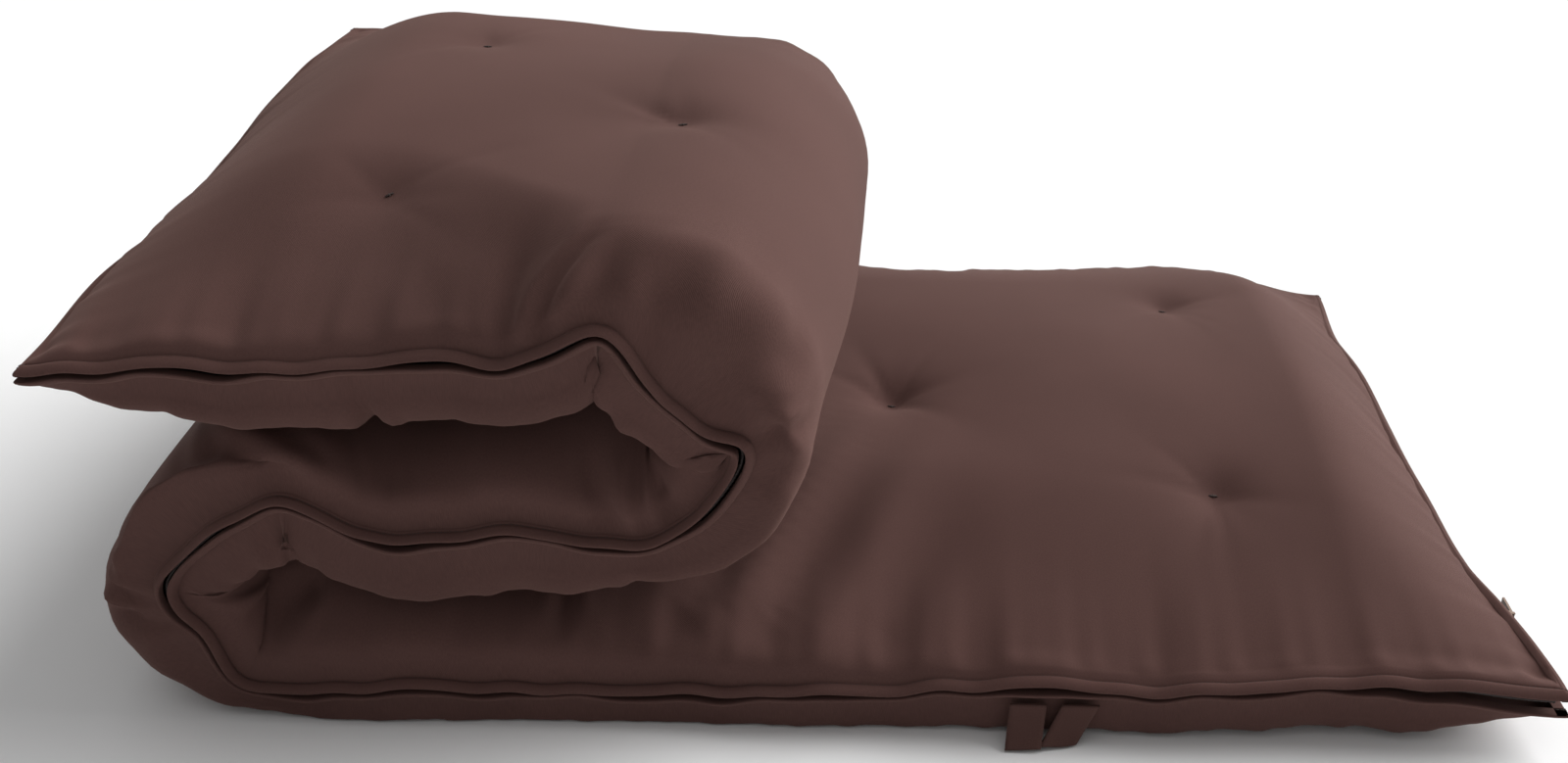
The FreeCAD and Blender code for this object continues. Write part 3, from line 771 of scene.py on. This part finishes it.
def build_stitches(sheets, material):
    """Stitches in each lip's groove, along the front and back seams."""
    grooves = {"face": 2, "back": 3}
    for part in range(4):
        all_vertices, all_faces, all_shares, base = [], [], [], 0
        for side, (points, grid) in sheets.items():
            first, last = column_ranges(grid)[part]
            for end in (0, 1):
                row = LIP_ROWS - grooves[side] if end == 0 else -LIP_ROWS + grooves[side] - 1
                line = points[first:last + 1, row]
                runs = grid.run[first:last + 1]
                normals = grid_normals(points, side == "face")[first:last + 1, row]
                length = np.concatenate([[0], np.cumsum(np.linalg.norm(np.diff(line, axis=0),
                                                                       axis=1))])
                at = np.arange(1.8 * MM, length[-1] - 1.2 * MM, 3.6 * MM)
                place = np.stack([np.interp(at, length, line[:, k]) for k in range(3)], -1)
                up = np.stack([np.interp(at, length, normals[:, k]) for k in range(3)], -1)
                up /= np.linalg.norm(up, axis=-1, keepdims=True)
                ahead = np.stack([np.interp(at + MM, length, line[:, k])
                                  - np.interp(at - MM, length, line[:, k])
                                  for k in range(3)], -1)
                ahead /= np.maximum(np.linalg.norm(ahead, axis=-1, keepdims=True), 1e-9)
                run_at = np.interp(at, length, runs)
                vertices, faces, count = stitch_meshes(place + up * 0.15 * MM, ahead, up,
                                                       2.9 * MM, 0.42 * MM)
                all_vertices.append(vertices)
                all_faces.append(faces + base)
                all_shares.append(np.repeat(bend_shares(run_at)[part], count))
                base += len(vertices)
        stitches = new_mesh(f"seam_stitches_{CHAIN[part]}_on", np.concatenate(all_vertices),
                            np.concatenate(all_faces), material=material)
        carry(stitches)


def surface_at(sheet, run, across):
    points, grid = sheet
    row = int(np.argmin(np.abs(grid.run - run)))
    column = int(np.argmin(np.abs(grid.across - across)))
    du = points[row + 1, column] - points[row - 1, column]
    dv = points[row, column + 1] - points[row, column - 1]
    normal = np.cross(du, dv)
    return points[row, column], normal / np.linalg.norm(normal)


def build_knots(sheets, material):
    """A small crossed stitch of twine at the bottom of every tuft's dimple."""
    tufts = tuft_runs()
    panels = {"bottom_panel": (0, hinge_run[0]), "middle_panel": (hinge_run[1], hinge_run[2]),
              "top_panel": (hinge_run[3] - REACH, RUN)}
    rng = np.random.default_rng(9)
    for panel, (start, end) in panels.items():
        vertices, faces, base = [], [], 0
        for run, across in tufts:
            if not start < run < end:
                continue
            for side, sheet in sheets.items():
                place, normal = surface_at(sheet, run, across)
                normal = normal if side == "back" else -normal
                heading = rng.uniform(-0.5, 0.5)
                flat = np.cross(normal, [math.sin(heading), math.cos(heading), 0.0])
                flat /= np.linalg.norm(flat)
                other = np.cross(normal, flat)
                for direction, length, radius in ((flat, 7 * MM, 0.7 * MM),
                                                  (flat + 0.35 * other, 6 * MM, 0.6 * MM),
                                                  (other - 0.4 * flat, 3 * MM, 0.8 * MM)):
                    direction = direction / np.linalg.norm(direction)
                    one, some, _ = stitch_meshes((place + normal * 0.9 * MM)[None],
                                                 direction[None], normal[None], length, radius)
                    vertices.append(one)
                    faces.append(some + base)
                    base += len(one)
        knots = new_mesh(f"tuft_stitches_{panel}", np.concatenate(vertices),
                         np.concatenate(faces), material=material)
        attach(knots, panel)
        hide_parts(f"tuft_twine_{panel}", f"tuft_knots_{panel}")


# ---------------------------------------------------------------- tie straps

# each strap's middle line from under the lip to the floor, its heading and its length
STRAPS = {
    "tie_strap_left": dict(x=0.152, slant=-0.10, twist=0.0, reach=13 * MM, chamfer=0.25),
    "tie_strap_right": dict(x=0.188, slant=-0.45, twist=0.5, reach=9 * MM, chamfer=-0.35),
}


def build_straps(material):
    for name, shape in STRAPS.items():
        width, count, steps = 25 * MM, 9, 15
        t = np.linspace(0, 1, steps)
        drop = 30 * MM * (1 - t) ** 1.2 + 2.2 * MM
        out = -0.3395 - shape["reach"] * t ** 1.6
        rows = []
        for k in range(steps):
            u = np.linspace(-0.5, 0.5, count)
            x = shape["x"] + u * width + shape["slant"] * 36 * MM * t[k]
            z = drop[k] + shape["chamfer"] * u * 10 * MM * t[k] ** 3
            y = out[k] + shape["twist"] * u * 10 * MM * t[k]
            rows.append(np.stack([x, np.full(count, 0) + y, np.maximum(z, 1.6 * MM)], -1))
        centre = np.array(rows)
        du = np.gradient(centre, axis=0)
        dv = np.gradient(centre, axis=1)
        normal = np.cross(du, dv)
        normal /= np.linalg.norm(normal, axis=-1, keepdims=True)
        half = 1.1 * MM
        loops = []
        for k in range(steps):
            loops.append(np.concatenate([centre[k] + normal[k] * half,
                                         (centre[k] - normal[k] * half)[::-1]]))
        loops = np.array(loops)
        ring = loops.shape[1]
        index = np.arange(steps * ring).reshape(steps, ring)
        ahead = np.roll(index, -1, axis=1)
        faces = np.stack([index[:-1].ravel(), ahead[:-1].ravel(), ahead[1:].ravel(),
                          index[1:].ravel()], -1).tolist()
        for end in (0, steps - 1):
            row = index[end]
            for k in range(count - 1):
                quad = [row[k], row[k + 1], row[ring - 2 - k], row[ring - 1 - k]]
                faces.append(quad if end else quad[::-1])
        uv = loops.reshape(-1, 3)[:, [0, 2]]
        strap = new_mesh(f"{name}_cloth", loops.reshape(-1, 3), faces, uv, material)
        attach(strap, "bottom_panel")
        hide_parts(name)


# ---------------------------------------------------------------- materials


def plain_material(name, colour, roughness, metallic=0.0):
    material = bpy.data.materials.new(name)
    material.use_nodes = True
    shader = material.node_tree.nodes["Principled BSDF"]
    shader.inputs["Base Color"].default_value = (*colour, 1)
    shader.inputs["Roughness"].default_value = roughness
    shader.inputs["Metallic"].default_value = metallic
    return material


def cloth_material(name, colour):
    """Cotton twill: a fine diagonal rib, a little fuzz, and a slightly uneven dye."""
    material = bpy.data.materials.new(name)
    material.use_nodes = True
    nodes, links = material.node_tree.nodes, material.node_tree.links
    shader = nodes["Principled BSDF"]
    shader.inputs["Roughness"].default_value = 0.92
    shader.inputs["Specular IOR Level"].default_value = 0.12
    shader.inputs["Sheen Weight"].default_value = 0.12
    shader.inputs["Sheen Roughness"].default_value = 0.45
    shader.inputs["Sheen Tint"].default_value = (0.80, 0.50, 0.42, 1)

    cloth = nodes.new("ShaderNodeUVMap")
    cloth.uv_map = "cloth"
    turn = nodes.new("ShaderNodeMapping")
    turn.inputs["Rotation"].default_value = (0, 0, math.radians(52))
    links.new(cloth.outputs["UV"], turn.inputs["Vector"])
    rib = nodes.new("ShaderNodeTexWave")
    rib.inputs["Scale"].default_value = 430.0
    rib.inputs["Distortion"].default_value = 3.0
    rib.inputs["Detail"].default_value = 1.0
    links.new(turn.outputs["Vector"], rib.inputs["Vector"])
    fuzz = nodes.new("ShaderNodeTexNoise")
    fuzz.inputs["Scale"].default_value = 900.0
    fuzz.inputs["Detail"].default_value = 3.0
    links.new(cloth.outputs["UV"], fuzz.inputs["Vector"])
    dye = nodes.new("ShaderNodeTexNoise")
    dye.inputs["Scale"].default_value = 7.0
    dye.inputs["Detail"].default_value = 4.0
    links.new(cloth.outputs["UV"], dye.inputs["Vector"])

    shades = nodes.new("ShaderNodeMix")
    shades.data_type = "RGBA"
    shades.inputs["A"].default_value = (*(channel * 0.86 for channel in colour), 1)
    shades.inputs["B"].default_value = (*(channel * 1.12 for channel in colour), 1)
    links.new(dye.outputs["Fac"], shades.inputs["Factor"])
    threads = nodes.new("ShaderNodeMix")
    threads.data_type = "RGBA"
    threads.blend_type = "MULTIPLY"
    threads.inputs["Factor"].default_value = 0.35
    links.new(shades.outputs["Result"], threads.inputs["A"])
    links.new(fuzz.outputs["Fac"], threads.inputs["B"])
    links.new(threads.outputs["Result"], shader.inputs["Base Color"])

    height = nodes.new("ShaderNodeMath")
    height.operation = "MULTIPLY_ADD"
    height.inputs[1].default_value = 0.7
    links.new(fuzz.outputs["Fac"], height.inputs[0])
    links.new(rib.outputs["Fac"], height.inputs[2])
    bump = nodes.new("ShaderNodeBump")
    bump.inputs["Strength"].default_value = 0.20
    bump.inputs["Distance"].default_value = 0.0004
    links.new(height.outputs["Value"], bump.inputs["Height"])
    links.new(bump.outputs["Normal"], shader.inputs["Normal"])
    return material


# ---------------------------------------------------------------- stage

def build_stage():
    floor_mesh = bpy.data.meshes.new("floor")
    size = 12.0
    floor_mesh.from_pydata([(-size, -size, 0), (size, -size, 0), (size, size, 0),
                            (-size, size, 0)], [], [(0, 1, 2, 3)])
    floor = bpy.data.objects.new("floor", floor_mesh)
    bpy.context.scene.collection.objects.link(floor)
    pale = bpy.data.materials.new("pale_floor")
    pale.use_nodes = True
    shader = pale.node_tree.nodes["Principled BSDF"]
    shader.inputs["Base Color"].default_value = (0.90, 0.90, 0.90, 1)
    shader.inputs["Roughness"].default_value = 0.8
    floor_mesh.materials.append(pale)

    world = bpy.data.worlds.new("studio")
    bpy.context.scene.world = world
    world.use_nodes = True
    world.node_tree.nodes["Background"].inputs["Color"].default_value = (1, 1, 1, 1)
    world.node_tree.nodes["Background"].inputs["Strength"].default_value = 0.30

    def broad_light(name, towards, spread, strength):
        """Even light from far off, softened as by a large diffuser."""
        data = bpy.data.lights.new(name, "SUN")
        data.angle = math.radians(spread)
        data.energy = strength
        light = bpy.data.objects.new(name, data)
        bpy.context.scene.collection.objects.link(light)
        light.location = towards
        x, y, z = towards
        light.rotation_euler = Euler((math.atan2(math.hypot(x, y), z), 0,
                                      math.atan2(y, x) + math.pi / 2))

    broad_light("key", (2.2, 1.4, 1.65), 60, 4.5)
    broad_light("overhead", (-0.6, 0.7, 2.4), 90, 0.35)


def build_camera():
    data = bpy.data.cameras.new("camera")
    data.lens = 34.3
    data.sensor_width = 36
    camera = bpy.data.objects.new("camera", data)
    bpy.context.scene.collection.objects.link(camera)
    turn = (Matrix.Rotation(math.radians(5.05), 4, "Z")
            @ Matrix.Rotation(math.radians(90 - 28.83), 4, "X")
            @ Matrix.Rotation(math.radians(-2.1), 4, "Z"))
    camera.matrix_world = Matrix.Translation((0.0618, -1.144, 0.7304)) @ turn
    bpy.context.scene.camera = camera


bpy.context.scene.view_settings.view_transform = "Standard"
build_camera()
build_stage()
sheets = {side: cover(side) for side in ("face", "back")}
casing_cloth = cloth_material("casing_twill", (0.108, 0.055, 0.048))
strap_cloth = cloth_material("strap_twill", (0.098, 0.050, 0.043))
thread = plain_material("sewing_thread", (0.045, 0.028, 0.024), 0.8)
tape_cloth = plain_material("zip_tape_weave", (0.022, 0.014, 0.012), 0.9)
coil_nylon = plain_material("zip_coil_nylon", (0.03, 0.02, 0.018), 0.55)
bronze = plain_material("dark_bronze", (0.10, 0.07, 0.055), 0.38, 1.0)
build_casing(sheets, casing_cloth)
build_zip(tape_cloth, coil_nylon)
build_stitches(sheets, thread)
build_knots(sheets, thread)
build_straps(strap_cloth)
for name in ("zip_slider", "zip_pull", "zip_end_stop"):
    mesh = bpy.data.objects[name].data
    mesh.materials.clear()
    mesh.materials.append(bronze)
